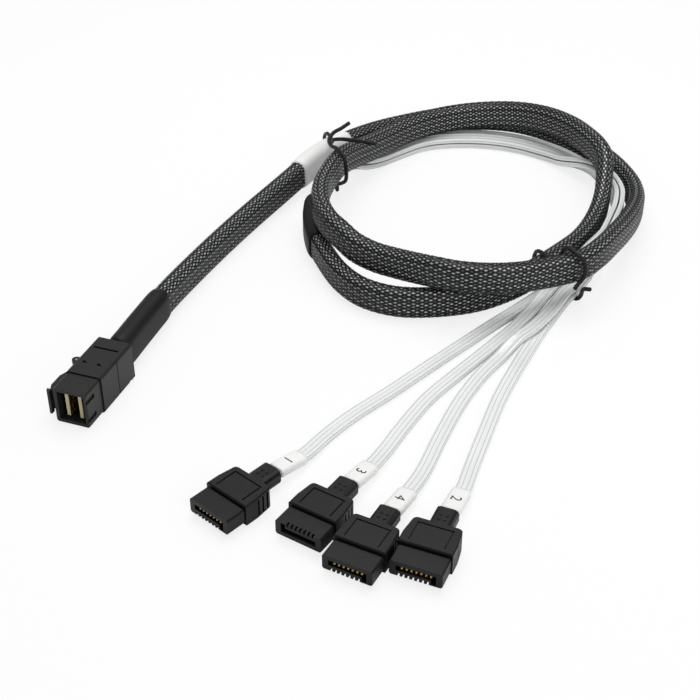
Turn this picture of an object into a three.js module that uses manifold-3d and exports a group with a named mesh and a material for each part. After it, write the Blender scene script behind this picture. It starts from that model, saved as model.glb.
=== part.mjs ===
// Breakout cable: one two-card plug, a braided trunk laid in a tied coil, and four
// flat cables that fan out to four seven-contact plugs. Millimetres, +Z up.
// The origin is the middle of the two-card plug's underside; its mating face looks along -Y.
import * as THREE from 'three';
import { mergeVertices } from 'three/addons/utils/BufferGeometryUtils.js';
import Module from 'manifold-3d';

const wasm = await Module();
wasm.setup();

// Clearance between pieces that touch on the real cable
const GAP = 0.3;

// Two-card plug
const NOSE = { width: 10.6, height: 11.6, length: 7.8, wall: 1.1, floor: 1.2, front: -13.2, chamfer: 0.5 };
const COVER = { width: 11.4, height: 12.4, rear: 13.2, wall: 1.15, edge: 0.7 };
const CARD = { thickness: 1.0, height: 8.2, spacing: 4.2, front: -11.6, rear: 2.3 };
const HOLDER = { away: 0.7, rear: 1.4, clearance: 0.35 };
const KEY = { width: 1.5, depth: 0.5, length: 4.2, offset: 3.1 };
const SLOT = { length: 8.0, width: 0.8, depth: 0.7, y: 8.2 };
const COMMA = { radius: 0.55, tail: 1.1, depth: 0.7, y: 0.6, spacing: 4.6, x: -0.6 };
const SEAM = { width: 0.35, depth: 0.3, y: 4.0 };
const FOOT_NOTCH = { width: 1.6, height: 0.9, y: 10.6 };

// Squeeze latch on the plug's side
const LATCH = { pivotY: 3.0, pivotX: -7.1, armThickness: 0.8, armHeight: 5.4, barrel: 1.1, front: -13.0 };
const PAD = {
  front: -11.3, rear: -2.2, proud: 0.9, height: 6.6, taper: 2.2,
  ribs: 4, ribWidth: 0.5, ribProud: 0.25, ribMargin: 2.9, ribShort: 0.4,
};
const HOOK = { length: 1.4, proud: 0.55, height: 2.2, spacing: 5.6, ramp: 0.8 };
const PIN = { radius: 0.4, height: 8.8, clearance: 0.2 };
const LUG = { thickness: 1.4, radius: 1.3 };

// Four-conductor flat cable, two lobes and a waist
const FLAT = { width: 4.4, thickness: 1.7, waist: 1.2, lobe: 3.2 };
const PITCH_ACROSS = FLAT.thickness + 0.5;
const PITCH_ALONG = FLAT.width + 0.35;
const STEP = 14;
const FINE_STEP = 6.5;
const FREE_STEP = 10.4;

// Braided sleeve, heat shrink and wrap-round label
const SLEEVE = { width: 6.0, height: 10.6, wall: 0.4, corner: 2.2, lead: 21 };
const SHRINK_WALL = 0.4;
const LABEL_WALL = 0.35;

// Seven-contact plug
const HEAD = {
  width: 14.0, height: 4.6, length: 6.0, chamfer: 0.45, mid: 3.4,
  slotWidth: 10.6, slotHeight: 1.6, slotDepth: 4.8, slotLift: 0.2,
};
const LEG = { width: 1.3, height: 1.25 };
const TANG = { width: 11.4, height: 3.2, length: 4.0 };
const GRIP = {
  width: 14.6, rearWidth: 13.4, length: 10.0, taperFrom: 4.0, height: 6.8, corner: 1.3, edge: 0.35,
};
const PANEL = { width: 9.4, length: 7.0, groove: 0.45, depth: 0.35, front: 1.2 };
const SIDE_NOTCH = { count: 3, width: 0.7, depth: 0.35, pitch: 1.8, first: 4.3, stepIn: 0.22, margin: 0.8 };
const NECK = { width: 6.2, height: 4.6, length: 7.0, corner: 1.2 };
const NECK_STUD = { size: 0.7, proud: 0.18, pitch: 1.7, rows: 2, columns: 2, away: 2 };
const CONTACT = { count: 7, pitch: 1.27, width: 0.5, thickness: 0.22, reach: 4.2, rise: 0.45, tail: 3.2 };
const LIP_NOTCH = { width: 0.6, depth: 0.9 };
const TAG = { length: 10.0, wall: 0.3, away: 0.9, rear: 2.0, corner: 1.1 };

// Trunk route, laid by hand: x, y, z and the roll of its section in degrees
const TRUNK = [
  [0, 2.6, 6.35, 0], [0, 10, 6.35, 0], [0, 18, 6.3, 0], [-0.5, 28.5, 6.2, 0], [-1, 47.5, 6.1, 0],
  [-0.5, 69, 5.6, 0], [1, 91.5, 5.4, 0], [3, 110, 5.5, 0], [5.5, 125.5, 6.1, 0], [7.5, 136, 6.9, 0],
  [9.8, 148.5, 7.7, 0], [13, 161.5, 7.3, 0], [17.2, 173.5, 6.3, 0], [23, 184, 5.8, 0], [31, 194, 5.5, 0],
  [42, 204.5, 5.4, 0], [55.5, 212.8, 5.4, 0],
  [70, 215.8, 5.4, 0], [84, 212.9, 5.4, 0], [96.5, 205.5, 5.4, 0],
  [106, 197.5, 5.4, 0], [114, 189.5, 5.4, 0], [120.5, 181, 5.4, 0], [125.6, 171.5, 5.6, 0],
  [128.4, 161, 6.6, 0], [129.4, 149, 8.6, 0], [129, 135, 11, 0], [127, 118.7, 13.6, 0],
  [124.5, 106.5, 14.8, 0], [121.3, 98.6, 15.0, 0], [116.8, 93.4, 15.1, 0], [111.3, 88.6, 15.2, 0],
  [104.5, 82.6, 15.8, 0], [96.6, 77.6, 16.6, 0], [87.6, 75.2, 16.8, 0], [79.5, 75.3, 16.7, 0],
  [72, 77.3, 15.6, 0], [65, 79.5, 14.6, 0],
  [57.5, 81.4, 14.2, 0], [49.8, 83.9, 15, 0], [43.9, 87.4, 16.4, 0],
  [38.1, 91.7, 17.1, 0], [32.1, 99.6, 17.5, 0], [27.9, 110.2, 17.6, 0], [26.1, 121.9, 17.6, 0],
  [25.4, 135.3, 16.8, 0], [26.3, 147.5, 14.4, 0], [28.5, 160, 11.8, 0], [31.3, 172, 10.2, 0],
  [36.5, 184.5, 9.9, 0], [45, 196, 9.8, 0], [57.8, 204.2, 10.5, 0], [73.1, 205.6, 12.5, 0],
  [86.5, 200.6, 14.6, 0], [98, 192.6, 15.7, 0], [106.4, 183.3, 16.2, 0], [111.4, 176.4, 16.2, 0],
  [114.3, 171.2, 14.8, 0], [115.7, 165.6, 12, 0],
  [116.7, 159, 8.8, 0], [117.1, 152.5, 6.6, 0], [116.8, 142, 5.4, 0],
  [115, 127.5, 5.6, 0], [110.9, 113.5, 6.6, 0],
  [105.6, 101, 6.8, 0], [99.3, 91.6, 5.9, 0], [91, 82.8, 5.4, 0],
  [79, 75.3, 5.4, 0], [67.8, 71.8, 5.4, 0], [56.5, 73.2, 5.4, 0], [46.8, 79.2, 5.5, 0], [37.5, 89, 5.8, 0],
  [30.1, 99, 6.15, 0], [24.9, 109.9, 6.2, 0], [21.8, 119.8, 6.2, 0], [19.6, 130.3, 6.2, 0],
  [18.6, 141, 6.4, 10], [19.4, 151, 6.2, 42], [22.8, 161.3, 3.7, 84], [27.2, 171.0, 2.15, 90],
  [32.8, 180.8, 2.1, 90], [39.5, 190.3, 2.1, 90], [49.5, 196.8, 2.1, 90], [61, 200.7, 2.1, 90],
  [74, 201.8, 2.1, 90], [86.8, 199, 2.25, 90], [98, 192.6, 3.0, 80], [107.5, 184.6, 5.0, 48],
  [116.5, 175.8, 5.1, 12], [121.3, 166, 4.8, 0], [123.2, 154.5, 4.8, 0], [123.2, 143, 4.8, 0],
  [122.6, 131.5, 4.8, 0], [120.9, 120.5, 5.2, 25], [118.2, 110.5, 3.7, 90],
];
const SLEEVE_END = 74;
const LABEL_FROM = 9;
const LABEL_TO = 12;

// Fan-out routes after the trunk, from the leftmost cable to the rightmost:
// slot in the trunk (across, along), route, and the plug's place, turn and side up
const BRANCHES = [
  {
    name: '1', slot: [-1, 1], plug: [56.3, -32.2], turn: -22, flipped: false,
    route: [[112.2, 102, 2.5], [109.3, 96, 2.3], [104.6, 87.5, 1.2], [99.4, 76.5, 1.1], [94.6, 65.5, 1.1],
      [86.8, 47.5, 1.1], [79.8, 31, 1.1], [73, 16, 1.1], [69.6, 6, 1.15]],
  },
  {
    name: '3', slot: [1, 1], plug: [79.6, -30.9], turn: -13, flipped: true,
    route: [[113.6, 102, 4.6], [111.8, 96, 4.5], [109.6, 87, 3.4], [106.4, 76, 2.0], [102.2, 65, 1.1],
      [95.7, 46, 1.1], [91.2, 32, 1.1], [88.4, 16, 1.1], [87.2, 6, 1.15]],
  },
  {
    name: '4', slot: [1, -1], plug: [94.8, -37.9], turn: -8, flipped: false,
    route: [[118.6, 102, 4.6], [116.8, 96, 4.5], [114.9, 87, 3.4], [111.8, 76, 3.0], [108.6, 68.5, 2.7],
      [105.8, 60, 1.2], [102.8, 49, 1.1], [100.5, 34, 1.1], [99.7, 16, 1.1], [99.6, 0, 1.15]],
  },
  {
    name: '2', slot: [-1, -1], plug: [110.4, -33.4], turn: -3.2, flipped: false,
    route: [[119, 102, 2.5], [117.2, 96, 2.3], [115.3, 87.5, 1.2], [113.8, 78, 1.1], [112.9, 69, 1.1],
      [111.6, 54.5, 1.1], [110.7, 39, 1.1], [111, 20, 1.1], [111.4, 6, 1.15]],
  },
];

// Tie wires, each bent once round the coil, with its two ends crossed and left standing
const TIE = { radius: 0.55, step: 2.4 };
const TIES = [
  {
    name: 'tie_near_label',
    route: [[38.6, 136.6, 25.6], [31, 138.2, 24.9], [24.6, 139.6, 23.9], [20.4, 142, 21.8],
      [17.2, 149.6, 17],
      [14.6, 155.8, 14.9], [10.8, 161.2, 14.2], [8.6, 164, 11.4], [8.3, 165, 7.5], [8.7, 164.4, 2.4],
      [10.4, 162.4, 0.8], [12.6, 159, 0.75], [17.2, 151.8, 0.8],
      [20.6, 145, 0.9], [22.7, 140, 3], [24.2, 136.4, 7.2],
      [27.4, 132.2, 10.4], [30, 129.4, 13.6], [30.3, 128.6, 19.2], [28.8, 129.8, 22.7], [25.4, 132.4, 23.7],
      [22.2, 135.6, 22.7], [20.1, 138.8, 23.1],
      [20.3, 142.6, 24.3], [21.8, 146.5, 24.5], [23.5, 150.5, 25.2]],
  },
  {
    name: 'tie_near_fan_out',
    route: [[125.6, 91.2, 10.8], [123.4, 93.8, 8.9], [122.5, 96.4, 6.2], [121.9, 98.4, 3.2],
      [120.4, 99.8, 1],
      [112, 103.6, 0.8], [106.6, 108, 0.85], [104.2, 109, 2.8], [103.8, 108.4, 8], [104.8, 106.9, 11.7],
      [106.8, 104.6, 13], [110, 101.2, 13.4], [113, 99, 15], [114.5, 98.2, 18], [115.6, 97.3, 20.7],
      [118, 94.8, 21.6], [120.4, 93.4, 21], [122.3, 93.1, 19.6], [123.3, 92.8, 17], [123.1, 92.2, 14],
      [121.8, 91.4, 11.9], [121.2, 89.4, 11.2]],
  },
];

// Closed path of stations with upright frames, each turned by its own roll
class StationPath extends THREE.Curve {
  constructor(stations, rolls) {
    super();
    this.stations = stations;
    this.rolls = rolls || stations.map(() => 0);
  }

  getSpacedPoints() {
    return this.stations;
  }

  computeFrenetFrames() {
    const tangents = [];
    const normals = [];
    const binormals = [];
    const last = this.stations.length - 1;
    this.stations.forEach((station, i) => {
      const ahead = this.stations[Math.min(i + 1, last)];
      const behind = this.stations[Math.max(i - 1, 0)];
      const tangent = ahead.clone().sub(behind).normalize();
      const side = new THREE.Vector3(0, 0, 1).cross(tangent).normalize();
      const normal = side.applyAxisAngle(tangent, THREE.MathUtils.degToRad(this.rolls[i]));
      tangents.push(tangent);
      normals.push(normal);
      binormals.push(tangent.clone().cross(normal));
    });
    return { tangents, normals, binormals };
  }
}

const toVector = ([x, y, z]) => new THREE.Vector3(x, y, z);

// Spaces stations along a smooth curve and carries the rolls with them:
// the coarse step as far as one point of the route, then the fine step
function spaced(route, fine, coarse = fine, until = 0) {
  const curve = new THREE.CatmullRomCurve3(route.map(toVector), false, 'centripetal');
  const divisions = 200 * (route.length - 1);
  const lengths = curve.getLengths(divisions);
  const split = lengths[200 * until];
  const total = lengths[divisions];
  const places = [0];
  for (const [from, to, step] of [[0, split, coarse], [split, total, fine]]) {
    const count = Math.round((to - from) / step);
    for (let i = 1; i <= count; i++) {
      places.push(from + (to - from) * i / count);
    }
  }
  const stations = [];
  const rolls = [];
  for (const place of places) {
    const index = Math.min(lengths.findIndex((length) => length >= place - 1e-6), divisions);
    const along = index / 200;
    const low = Math.min(Math.floor(along), route.length - 2);
    stations.push(curve.getPoint(index / divisions));
    rolls.push(THREE.MathUtils.lerp(route[low][3] || 0, route[low + 1][3] || 0, along - low));
  }
  return { stations, rolls };
}

// Polygon with round corners, each corner drawn with three points
function roundedOutline(width, height, corner) {
  const points = [];
  const corners = [[1, 1, 0], [-1, 1, 90], [-1, -1, 180], [1, -1, 270]];
  for (const [sx, sy, start] of corners) {
    for (const turn of [0, 45, 90]) {
      const angle = THREE.MathUtils.degToRad(start + turn);
      points.push(new THREE.Vector2(
        sx * (width / 2 - corner) + corner * Math.cos(angle),
        sy * (height / 2 - corner) + corner * Math.sin(angle),
      ));
    }
  }
  return points;
}

// Tube with a hollow of the same form, along a path of stations
function hollowTube(path, width, height, wall, corner) {
  const shape = new THREE.Shape(roundedOutline(width, height, corner));
  const inner = roundedOutline(width - 2 * wall, height - 2 * wall, corner - wall);
  shape.holes.push(new THREE.Path(inner));
  return new THREE.ExtrudeGeometry(shape, { extrudePath: path, steps: path.stations.length - 1 });
}

function solidTube(path, outline) {
  const shape = new THREE.Shape(outline);
  return new THREE.ExtrudeGeometry(shape, { extrudePath: path, steps: path.stations.length - 1 });
}

// Booleans on closed meshes
function toSolid(geometry) {
  const bare = geometry.clone();
  bare.deleteAttribute('normal');
  bare.deleteAttribute('uv');
  const merged = mergeVertices(bare, 1e-4);
  const mesh = new wasm.Mesh({
    numProp: 3,
    vertProperties: new Float32Array(merged.attributes.position.array),
    triVerts: new Uint32Array(merged.index.array),
  });
  mesh.merge();
  return new wasm.Manifold(mesh);
}

function toGeometry(solid) {
  const mesh = solid.getMesh();
  const geometry = new THREE.BufferGeometry();
  geometry.setAttribute('position', new THREE.BufferAttribute(new Float32Array(mesh.vertProperties), 3));
  geometry.setIndex(new THREE.BufferAttribute(new Uint32Array(mesh.triVerts), 1));
  geometry.computeVertexNormals();
  return geometry;
}

function cut(base, tools) {
  return toGeometry(tools.reduce((solid, tool) => solid.subtract(toSolid(tool)), toSolid(base)));
}

function join(base, others) {
  return toGeometry(others.reduce((solid, other) => solid.add(toSolid(other)), toSolid(base)));
}

// Box given by its lowest and highest corners
function box(low, high) {
  const size = low.map((value, i) => high[i] - value);
  const geometry = new THREE.BoxGeometry(...size);
  return geometry.translate(...low.map((value, i) => value + size[i] / 2));
}

// Upright prism: an outline in x and y, from z low to z high, with an optional soft edge
function prism(outline, low, high, edge = 0) {
  const shape = new THREE.Shape(outline);
  const options = { depth: high - low - 2 * edge, bevelEnabled: edge > 0, bevelSegments: 1 };
  Object.assign(options, { bevelSize: edge, bevelThickness: edge, bevelOffset: -edge });
  return new THREE.ExtrudeGeometry(shape, options).translate(0, 0, low + edge);
}

// Prism that runs along y: an outline in x and z, from y front to y rear
function bar(outline, front, rear, middle) {
  const shape = new THREE.Shape(outline);
  const geometry = new THREE.ExtrudeGeometry(shape, { depth: rear - front, bevelEnabled: false });
  return geometry.rotateX(Math.PI / 2).translate(0, rear, middle);
}

const chamfered = (width, height, chamfer) => [
  [width / 2, height / 2 - chamfer], [width / 2 - chamfer, height / 2], [chamfer - width / 2, height / 2],
  [-width / 2, height / 2 - chamfer],
  [-width / 2, chamfer - height / 2], [chamfer - width / 2, -height / 2],
  [width / 2 - chamfer, -height / 2], [width / 2, chamfer - height / 2],
].map(([x, y]) => new THREE.Vector2(x, y));

const standing = (radius, low, high, x, y, sides = 16) => {
  const geometry = new THREE.CylinderGeometry(radius, radius, high - low, sides);
  return geometry.rotateX(Math.PI / 2).translate(x, y, (low + high) / 2);
};

const BLACK = { color: 0x1f201f, roughness: 0.5, metalness: 0 };
const BLACK_SOFT = { color: 0x171817, roughness: 0.62, metalness: 0 };
const BRAID = { color: 0x2a2c2d, roughness: 0.7, metalness: 0 };
const WHITE = { color: 0xe9e9e6, roughness: 0.5, metalness: 0 };
const SILVER_WHITE = { color: 0xd9dcd9, roughness: 0.32, metalness: 0 };
const GOLD = { color: 0xcaa85a, roughness: 0.3, metalness: 1 };
const CARD_BOARD = { color: 0xb7a878, roughness: 0.5, metalness: 0 };
const STEEL = { color: 0x8b8d8f, roughness: 0.35, metalness: 1 };

const cable = new THREE.Group();

function add(parent, name, geometry, finish) {
  const mesh = new THREE.Mesh(geometry, new THREE.MeshStandardMaterial(finish));
  mesh.name = name;
  parent.add(mesh);
  return mesh;
}

// Two-card plug: a hollow nose, a rear cover, two paddle cards in a holder, and a squeeze latch
const plugMid = COVER.height / 2;
const noseRear = NOSE.front + NOSE.length;
const coverFront = noseRear + GAP;

function noseHousing() {
  const shell = bar(chamfered(NOSE.width, NOSE.height, NOSE.chamfer), NOSE.front, noseRear, plugMid);
  const insideX = NOSE.width / 2 - NOSE.wall;
  const insideZ = NOSE.height / 2 - NOSE.wall;
  const cavity = box(
    [-insideX, NOSE.front - 1, plugMid - insideZ],
    [insideX, noseRear - NOSE.floor, plugMid + insideZ],
  );
  const slots = [-1, 1].map((side) => box(
    [side * CARD.spacing / 2 - CARD.thickness / 2 - GAP, NOSE.front, plugMid - CARD.height / 2 - GAP],
    [side * CARD.spacing / 2 + CARD.thickness / 2 + GAP, noseRear + 1, plugMid + CARD.height / 2 + GAP],
  ));
  const keyways = [-1, 1].map((side) => box(
    [NOSE.width / 2 - KEY.depth, NOSE.front - 1, plugMid + side * KEY.offset - KEY.width / 2],
    [NOSE.width / 2 + 1, NOSE.front + KEY.length, plugMid + side * KEY.offset + KEY.width / 2],
  ));
  return cut(shell, [cavity, ...slots, ...keyways]);
}

function paddleCard(side) {
  const x = side * CARD.spacing / 2;
  return box(
    [x - CARD.thickness / 2, CARD.front, plugMid - CARD.height / 2],
    [x + CARD.thickness / 2, CARD.rear, plugMid + CARD.height / 2],
  );
}

const coverHollowX = COVER.width / 2 - COVER.wall;
const coverHollowZ = COVER.height / 2 - COVER.wall;

function cardHolder() {
  const x = coverHollowX - HOLDER.clearance;
  const z = coverHollowZ - HOLDER.clearance;
  const front = noseRear + HOLDER.away;
  const block = box([-x, front, plugMid - z], [x, HOLDER.rear, plugMid + z]);
  const slots = [-1, 1].map((side) => box(
    [side * CARD.spacing / 2 - CARD.thickness / 2 - GAP, front - 1, plugMid - CARD.height / 2 - GAP],
    [side * CARD.spacing / 2 + CARD.thickness / 2 + GAP, HOLDER.rear + 1, plugMid + CARD.height / 2 + GAP],
  ));
  return cut(block, slots);
}

function commaHole(x) {
  const top = plugMid + COVER.height / 2;
  const round = standing(COMMA.radius, top - COMMA.depth, top + 1, x, COMMA.y, 10);
  const tail = box(
    [x, COMMA.y - COMMA.radius * 0.8, top - COMMA.depth],
    [x + COMMA.tail, COMMA.y, top + 1],
  );
  return join(round, [tail]);
}

function pinBore(low, high) {
  return standing(PIN.radius + PIN.clearance, low, high, LATCH.pivotX, LATCH.pivotY, 12);
}

function rearCover() {
  const mid = plugMid;
  const half = COVER.width / 2;
  const top = mid + COVER.height / 2;
  const shell = bar(chamfered(COVER.width, COVER.height, COVER.edge), coverFront, COVER.rear, mid);
  const lugs = [-1, 1].map((side) => {
    const edge = mid + side * (LATCH.armHeight / 2 + GAP);
    const low = Math.min(edge, edge + side * LUG.thickness);
    const ear = standing(LUG.radius, low, low + LUG.thickness, LATCH.pivotX, LATCH.pivotY, 14);
    const root = box(
      [LATCH.pivotX, LATCH.pivotY - LUG.radius, low],
      [0.5 - half, LATCH.pivotY + LUG.radius, low + LUG.thickness],
    );
    return join(ear, [root]);
  });
  const hollow = box(
    [-coverHollowX, coverFront - 1, mid - coverHollowZ],
    [coverHollowX, COVER.rear + 1, mid + coverHollowZ],
  );
  const pinHole = pinBore(mid - COVER.height, mid + COVER.height);
  const topSlot = box(
    [-SLOT.length / 2, SLOT.y - SLOT.width / 2, top - SLOT.depth],
    [SLOT.length / 2, SLOT.y + SLOT.width / 2, top + 1],
  );
  const commas = [-1, 1].map((side) => commaHole(COMMA.x + side * COMMA.spacing / 2));
  const seam = box(
    [half - SEAM.depth, SEAM.y - SEAM.width / 2, mid - COVER.height],
    [half + 1, SEAM.y + SEAM.width / 2, mid + COVER.height],
  );
  const notch = box(
    [half - FOOT_NOTCH.width, FOOT_NOTCH.y - FOOT_NOTCH.width / 2, mid - COVER.height],
    [half + 1, FOOT_NOTCH.y + FOOT_NOTCH.width / 2, mid - COVER.height / 2 + FOOT_NOTCH.height],
  );
  const body = toSolid(join(shell, lugs));
  const tools = [hollow, pinHole, topSlot, ...commas, seam, notch];
  return toGeometry(tools.reduce((solid, tool) => solid.subtract(toSolid(tool)), body));
}

function latchLever() {
  const mid = plugMid;
  const halfArm = LATCH.armHeight / 2;
  const inner = LATCH.pivotX + LATCH.armThickness / 2;
  const outer = LATCH.pivotX - LATCH.armThickness / 2;
  const barrel = standing(LATCH.barrel, mid - halfArm, mid + halfArm, LATCH.pivotX, LATCH.pivotY);
  const arm = box([outer, LATCH.front, mid - halfArm], [inner, LATCH.pivotY, mid + halfArm]);
  const padOutline = [
    [inner - 0.05, PAD.rear], [outer, PAD.rear], [outer - PAD.proud, PAD.rear - PAD.taper],
    [outer - PAD.proud, PAD.front + PAD.taper], [outer, PAD.front], [inner - 0.05, PAD.front],
  ].map(([x, y]) => new THREE.Vector2(x, y));
  const pad = prism(padOutline, mid - PAD.height / 2, mid + PAD.height / 2);
  const ribs = Array.from({ length: PAD.ribs }, (_, i) => {
    const y = PAD.front + PAD.ribMargin + i * (PAD.rear - PAD.front - 2 * PAD.ribMargin) / (PAD.ribs - 1);
    return box(
      [outer - PAD.proud - PAD.ribProud, y - PAD.ribWidth / 2, mid - PAD.height / 2 + PAD.ribShort],
      [outer, y + PAD.ribWidth / 2, mid + PAD.height / 2 - PAD.ribShort],
    );
  });
  const hooks = [-1, 1].map((side) => {
    const outline = [
      [inner - 0.05, LATCH.front], [inner - 0.05, LATCH.front + HOOK.length],
      [outer - HOOK.proud, LATCH.front + HOOK.length],
      [outer - HOOK.proud, LATCH.front + HOOK.ramp], [outer, LATCH.front],
    ].map(([x, y]) => new THREE.Vector2(x, y));
    const z = mid + side * HOOK.spacing / 2;
    return prism(outline, z - HOOK.height / 2, z + HOOK.height / 2);
  });
  const solid = join(barrel, [arm, pad, ...ribs, ...hooks]);
  return cut(solid, [pinBore(mid - PAD.height, mid + PAD.height)]);
}

const trunkPlug = new THREE.Group();
cable.add(trunkPlug);
add(trunkPlug, 'plug_nose', noseHousing(), BLACK);
add(trunkPlug, 'plug_rear_cover', rearCover(), BLACK);
add(trunkPlug, 'card_holder', cardHolder(), BLACK_SOFT);
add(trunkPlug, 'paddle_card_left', paddleCard(-1), CARD_BOARD);
add(trunkPlug, 'paddle_card_right', paddleCard(1), CARD_BOARD);
add(trunkPlug, 'latch_lever', latchLever(), BLACK);
const pinLow = plugMid - PIN.height / 2;
const pin = standing(PIN.radius, pinLow, pinLow + PIN.height, LATCH.pivotX, LATCH.pivotY, 12);
add(trunkPlug, 'latch_pin', pin, STEEL);

// Trunk: stations shared by the sleeve, the heat shrinks, the label and the flat cables inside
const trunk = spaced(TRUNK, FINE_STEP, STEP, SLEEVE_END);

// Station nearest to a point of the trunk route
function stationAt(index) {
  const target = toVector(TRUNK[index]);
  const distances = trunk.stations.map((station) => station.distanceTo(target));
  return distances.indexOf(Math.min(...distances));
}

function pieceOfTrunk(from, to) {
  return new StationPath(trunk.stations.slice(from, to + 1), trunk.rolls.slice(from, to + 1));
}

const sleeveFrom = trunk.stations.findIndex((station) => station.y > SLEEVE.lead);
const sleeveTo = stationAt(SLEEVE_END) - 1;
const sleevePath = pieceOfTrunk(sleeveFrom, sleeveTo);
add(cable, 'braided_sleeve',
  hollowTube(sleevePath, SLEEVE.width, SLEEVE.height, SLEEVE.wall, SLEEVE.corner), BRAID);

// Tube that fits over the sleeve, drawn along stretches of the same stations
function overSleeve(path, wall) {
  const grow = 2 * (GAP + wall);
  return hollowTube(path, SLEEVE.width + grow, SLEEVE.height + grow, wall, SLEEVE.corner + GAP + wall);
}

const leadStart = new THREE.Vector3(0, COVER.rear + GAP, trunk.stations[1].z);
const plugShrink = pieceOfTrunk(1, sleeveFrom + 1);
plugShrink.stations[0] = leadStart;
add(cable, 'plug_heat_shrink', overSleeve(plugShrink, SHRINK_WALL), BLACK_SOFT);
const labelPath = pieceOfTrunk(stationAt(LABEL_FROM), stationAt(LABEL_TO));
add(cable, 'trunk_label', overSleeve(labelPath, LABEL_WALL), WHITE);
const endShrink = pieceOfTrunk(sleeveTo - 1, sleeveTo + 1);
add(cable, 'breakout_heat_shrink', overSleeve(endShrink, SHRINK_WALL), BLACK_SOFT);

// Flat cables: each runs from the cards through the sleeve and out to its own plug
const flatOutline = [
  [0, -FLAT.width / 2], [FLAT.thickness / 2, -FLAT.lobe / 2], [FLAT.waist / 2, 0],
  [FLAT.thickness / 2, FLAT.lobe / 2], [0, FLAT.width / 2], [-FLAT.thickness / 2, FLAT.lobe / 2],
  [-FLAT.waist / 2, 0], [-FLAT.thickness / 2, -FLAT.lobe / 2],
].map(([x, y]) => new THREE.Vector2(x, y));

const neckRear = GRIP.length + NECK.length;

// Point of a seven-contact plug's own frame, in the cable's frame
function onPlug(branch, y, z) {
  const turn = THREE.MathUtils.degToRad(branch.turn);
  return new THREE.Vector3(branch.plug[0] - y * Math.sin(turn), branch.plug[1] + y * Math.cos(turn), z);
}

function branchStations(branch) {
  const frames = new StationPath(trunk.stations, trunk.rolls).computeFrenetFrames();
  const [across, along] = branch.slot;
  const inTrunk = trunk.stations.map((station, i) => station.clone()
    .addScaledVector(frames.normals[i], across * PITCH_ACROSS / 2)
    .addScaledVector(frames.binormals[i], along * PITCH_ALONG / 2));
  const last = inTrunk[inTrunk.length - 1];
  const tailEnd = onPlug(branch, neckRear + GAP, HEAD.mid);
  const tailStart = onPlug(branch, neckRear + TAG.away + TAG.length + 1, TAG.rear);
  const freeRoute = [last.toArray(), ...branch.route, tailStart.toArray()];
  const free = spaced(freeRoute, FREE_STEP).stations.slice(1);
  const rolls = [...trunk.rolls, ...free.map(() => 90), 90];
  return new StationPath([...inTrunk, ...free, tailEnd], rolls);
}

// Seven-contact plug: a mating head with a tang, seven sprung contacts and an overmoulded grip
function headHousing(flipped) {
  const mid = HEAD.mid;
  const front = -HEAD.length - GAP;
  const block = bar(chamfered(HEAD.width, HEAD.height, HEAD.chamfer), front, -GAP, mid);
  const tang = box(
    [-TANG.width / 2, -GAP - 1, mid - TANG.height / 2],
    [TANG.width / 2, TANG.length, mid + TANG.height / 2],
  );
  const slotTop = mid + HEAD.slotHeight / 2 + HEAD.slotLift;
  const slotLow = slotTop - HEAD.slotHeight;
  const legX = HEAD.slotWidth / 2;
  const slot = box([-legX, front - 1, slotLow], [legX, front + HEAD.slotDepth, slotTop]);
  const leg = box(
    [legX - LEG.width, front - 1, slotLow - LEG.height],
    [legX, front + HEAD.slotDepth, slotTop],
  );
  const span = CONTACT.pitch * (CONTACT.count - 1) + CONTACT.width + 2 * GAP;
  const passage = box([-span / 2, front, slotLow - 0.01], [span / 2, TANG.length + 1, slotLow + 0.82]);
  const notches = Array.from({ length: CONTACT.count }, (_, i) => {
    const x = (i - (CONTACT.count - 1) / 2) * CONTACT.pitch - CONTACT.pitch / 2;
    return box(
      [x - LIP_NOTCH.width / 2, front - 1, mid - HEAD.height],
      [x + LIP_NOTCH.width / 2, front + LIP_NOTCH.depth, slotLow - 0.75],
    );
  });
  const geometry = toGeometry([slot, leg, passage, ...notches]
    .reduce((solid, tool) => solid.subtract(toSolid(tool)), toSolid(join(block, [tang]))));
  return flipped ? geometry.rotateY(Math.PI).translate(0, 0, 2 * mid) : geometry;
}

function contact(index, flipped) {
  const slotLow = HEAD.mid - HEAD.slotHeight / 2 + HEAD.slotLift;
  const x = (index - (CONTACT.count - 1) / 2) * CONTACT.pitch;
  const tip = -GAP - HEAD.length + 0.5;
  const low = slotLow + 0.24;
  const top = low + CONTACT.thickness;
  const outline = [
    [tip, low], [tip + 0.6, low + CONTACT.rise],
    [tip + 1.4, low + CONTACT.rise], [tip + CONTACT.reach, low],
    [CONTACT.tail, low], [CONTACT.tail, top], [tip + CONTACT.reach, top],
    [tip + 1.5, top + CONTACT.rise], [tip + 0.5, top + CONTACT.rise], [tip, top],
  ].map(([y, z]) => new THREE.Vector2(y, z));
  const shape = new THREE.Shape(outline);
  const geometry = new THREE.ExtrudeGeometry(shape, { depth: CONTACT.width, bevelEnabled: false });
  geometry.rotateY(Math.PI / 2).rotateX(Math.PI / 2).translate(x - CONTACT.width / 2, 0, 0);
  return flipped ? geometry.rotateY(Math.PI).translate(0, 0, 2 * HEAD.mid) : geometry;
}

function gripOutline() {
  const half = GRIP.width / 2;
  const rear = GRIP.rearWidth / 2;
  const round = [30, 60, 90].map((degrees) => {
    const angle = THREE.MathUtils.degToRad(degrees);
    const x = rear - GRIP.corner + GRIP.corner * Math.cos(angle);
    return [x, GRIP.length - GRIP.corner + GRIP.corner * Math.sin(angle)];
  });
  const right = [[half, 0], [half, GRIP.taperFrom], [rear, GRIP.length - GRIP.corner], ...round];
  const left = right.map(([x, y]) => [-x, y]).reverse();
  return [...right, ...left].map(([x, y]) => new THREE.Vector2(x, y));
}

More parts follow.
